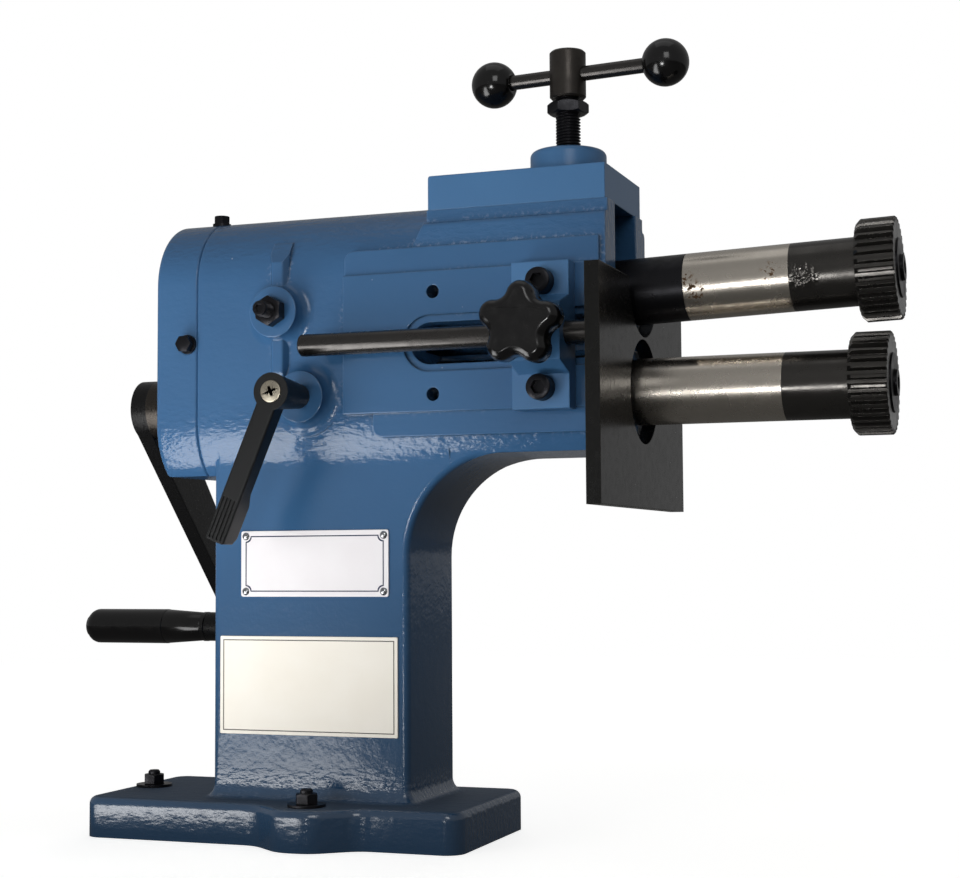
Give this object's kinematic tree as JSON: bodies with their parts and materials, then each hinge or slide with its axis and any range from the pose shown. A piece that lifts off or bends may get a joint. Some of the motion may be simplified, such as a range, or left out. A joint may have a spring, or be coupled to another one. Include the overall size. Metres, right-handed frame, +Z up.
{
  "type": "swage jenny",
  "caption": "Bench-top hand-cranked swage jenny: a cast C-frame carries two geared shafts with toothed rolls, a pressure screw over the upper roll and a sliding fence.",
  "frame": {"origin": "middle of the base underside", "axes": "+X along the shafts from the crank to the rolls, -Y the front with the plates and knobs, +Z up"},
  "size_m": [0.6513, 0.2741, 0.5056],
  "materials": {
    "blue_enamel": "thick gloss enamel over a rough casting",
    "black_oxide_steel": "satin black oxide",
    "hardened_black_steel": "oiled black oxide",
    "black_painted_steel": "semi-gloss black paint",
    "ground_steel": "cylindrical grinding marks",
    "bearing_bronze": "turned",
    "black_gloss_plastic": "polished phenolic",
    "charcoal_plastic": "fine moulded grain",
    "printed_plate": "satin lacquered plate",
    "zinc_plate": "bright zinc",
    "spring_steel": "drawn wire"
  },
  "bodies": {
    "frame": {"frame_casting": "blue_enamel", "pressure_cap": "blue_enamel", "cap_screws": "black_oxide_steel", "gear_cover": "blue_enamel", "gear_cover_screws": "black_oxide_steel", "gear_cover_washers": "black_oxide_steel", "hold_down_bolts": "black_oxide_steel", "hold_down_washers": "black_oxide_steel", "pivot_screws": "black_oxide_steel", "pivot_lock_nuts": "black_oxide_steel", "name_plate": "printed_plate", "name_plate_rivets": "zinc_plate", "data_plate": "printed_plate", "fence_bracket": "blue_enamel", "bracket_screws": "black_oxide_steel", "lift_spring": "spring_steel"},
    "quill": {"lower_quill": "ground_steel", "lower_bushes": "bearing_bronze"},
    "lower_spindle": {"lower_shaft": "ground_steel", "lower_keys": "ground_steel", "lower_gear": "ground_steel", "lower_thrust_ring": "ground_steel", "lower_spacer": "ground_steel", "lower_roll": "hardened_black_steel", "lower_roll_washer": "black_oxide_steel", "lower_roll_screw": "black_oxide_steel", "crank_arm": "black_painted_steel", "crank_set_screw": "black_oxide_steel", "handle_spindle": "black_oxide_steel"},
    "crank_handle": {"crank_grip": "black_gloss_plastic"},
    "rocker_arm": {"rocker": "black_oxide_steel", "upper_bushes": "bearing_bronze"},
    "upper_spindle": {"upper_shaft": "ground_steel", "upper_keys": "ground_steel", "upper_gear": "ground_steel", "upper_circlip": "black_oxide_steel", "upper_thrust_ring": "ground_steel", "upper_spacer": "ground_steel", "upper_roll": "hardened_black_steel", "upper_roll_washer": "black_oxide_steel", "upper_roll_screw": "black_oxide_steel"},
    "screw_foot": {"pressure_shoe": "black_oxide_steel"},
    "screw_head": {"pressure_screw": "black_oxide_steel", "screw_lock_nut": "black_oxide_steel", "tee_hub": "black_oxide_steel"},
    "tommy": {"tommy_bar": "black_oxide_steel", "ball_knobs": "black_gloss_plastic"},
    "fence": {"fence_plate": "black_painted_steel", "fence_rod": "black_painted_steel"},
    "fence_clamp": {"fence_clamp_pad": "bearing_bronze"},
    "star_knob": {"fence_knob": "black_gloss_plastic", "fence_knob_stud": "black_oxide_steel"},
    "quill_clamp": {"quill_clamp_plug": "bearing_bronze"},
    "quill_lever": {"clamp_lever": "charcoal_plastic", "clamp_lever_stud": "black_oxide_steel", "clamp_lever_screw": "zinc_plate"}
  },
  "joints": [
    {"name": "quill_shift", "type": "slide", "parent": "frame", "child": "quill", "axis": [1, 0, 0], "range_m": [-0.003, 0.005]},
    {"name": "crank_turn", "type": "hinge", "parent": "quill", "child": "lower_spindle", "pos_m": [0, 0, 0.2835], "axis": [1, 0, 0], "continuous": true},
    {"name": "grip_spin", "type": "hinge", "parent": "lower_spindle", "child": "crank_handle", "pos_m": [-0.2, 0.1439, 0.12918], "axis": [1, 0, 0], "continuous": true},
    {"name": "rocker_tilt", "type": "hinge", "parent": "frame", "child": "rocker_arm", "pos_m": [0.003, 0, 0.339], "axis": [0, -1, 0], "range_deg": [-1.05, 1.19], "deforming": ["lift_spring"]},
    {"name": "upper_turn", "type": "hinge", "parent": "rocker_arm", "child": "upper_spindle", "pos_m": [0.003, 0, 0.339], "axis": [0.9994, 0, 0.0349], "continuous": true},
    {"name": "screw_feed", "type": "slide", "parent": "frame", "child": "screw_foot", "axis": [0, 0, 1], "range_m": [-0.0034, 0.0039]},
    {"name": "screw_turn", "type": "hinge", "parent": "screw_foot", "child": "screw_head", "pos_m": [0.1852, 0, 0.45], "axis": [0, 0, 1], "range_deg": [-602, 680]},
    {"name": "tommy_slide", "type": "slide", "parent": "screw_head", "child": "tommy", "axis": [0.9936, -0.1132, 0], "range_m": [-0.0415, 0.027]},
    {"name": "fence_slide", "type": "slide", "parent": "frame", "child": "fence", "axis": [1, 0, 0], "range_m": [0, 0.11]},
    {"name": "fence_clamp_feed", "type": "slide", "parent": "frame", "child": "fence_clamp", "axis": [0, -1, 0], "range_m": [0, 0.0025]},
    {"name": "fence_knob_turn", "type": "hinge", "parent": "fence_clamp", "child": "star_knob", "pos_m": [0.1875, -0.1, 0.3145], "axis": [0, -1, 0], "range_deg": [0, 720]},
    {"name": "quill_clamp_feed", "type": "slide", "parent": "frame", "child": "quill_clamp", "axis": [0, -1, 0], "range_m": [0, 0.000624]},
    {"name": "quill_lever_turn", "type": "hinge", "parent": "quill_clamp", "child": "quill_lever", "pos_m": [0.0217, -0.07, 0.2835], "axis": [0, -1, 0], "range_deg": [0, 150]}
  ],
  "couplings": [
    {"joint": "upper_turn", "follows": "crank_turn", "ratio": -1},
    {"joint": "screw_feed", "follows": "rocker_tilt", "m_per_rad": 0.1822},
    {"joint": "screw_turn", "follows": "rocker_tilt", "ratio": 572.4},
    {"joint": "fence_knob_turn", "follows": "fence_clamp_feed", "rad_per_m": 5026.5},
    {"joint": "quill_lever_turn", "follows": "quill_clamp_feed", "rad_per_m": 4188.8}
  ]
}
